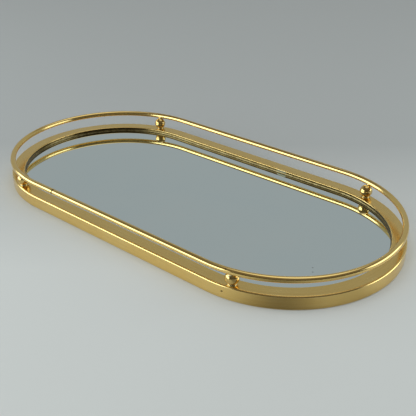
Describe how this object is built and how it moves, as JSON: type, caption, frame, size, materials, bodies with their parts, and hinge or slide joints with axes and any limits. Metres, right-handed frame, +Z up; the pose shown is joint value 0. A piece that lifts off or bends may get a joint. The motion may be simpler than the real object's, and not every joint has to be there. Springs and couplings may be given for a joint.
{
  "type": "mirrored vanity tray",
  "caption": "Pill-shaped mirrored tray in a gold square tube frame, with a round gallery rail raised above it on polished ball spacers.",
  "frame": {"origin": "centre of the tray, on the surface it stands on", "axes": "+Z up, +X along the long side, +Y across the tray"},
  "size_m": [0.36, 0.1818, 0.0242],
  "materials": {
    "satin_brass": "satin, fine lengthwise brush lines",
    "rail_brass": "polished to a soft satin",
    "polished_brass": "polished",
    "plain_brass": "plain, unpolished",
    "mirror": "silvered float glass",
    "hardboard": "raw pressed fibre board",
    "felt": "black wool felt"
  },
  "bodies": {
    "root": {"base_frame": "satin_brass", "support_ledge": "plain_brass", "back_cover": "felt", "backing_board": "hardboard", "mirror_glass": "mirror", "gallery_rail": "rail_brass", "ball_spacer_back_left": "polished_brass", "stud_back_left": "plain_brass", "rail_peg_back_left": "plain_brass", "ball_spacer_back_right": "polished_brass", "stud_back_right": "plain_brass", "rail_peg_back_right": "plain_brass", "ball_spacer_front_right": "polished_brass", "stud_front_right": "plain_brass", "rail_peg_front_right": "plain_brass", "ball_spacer_front_left": "polished_brass", "stud_front_left": "plain_brass", "rail_peg_front_left": "plain_brass"}
  },
  "joints": []
}
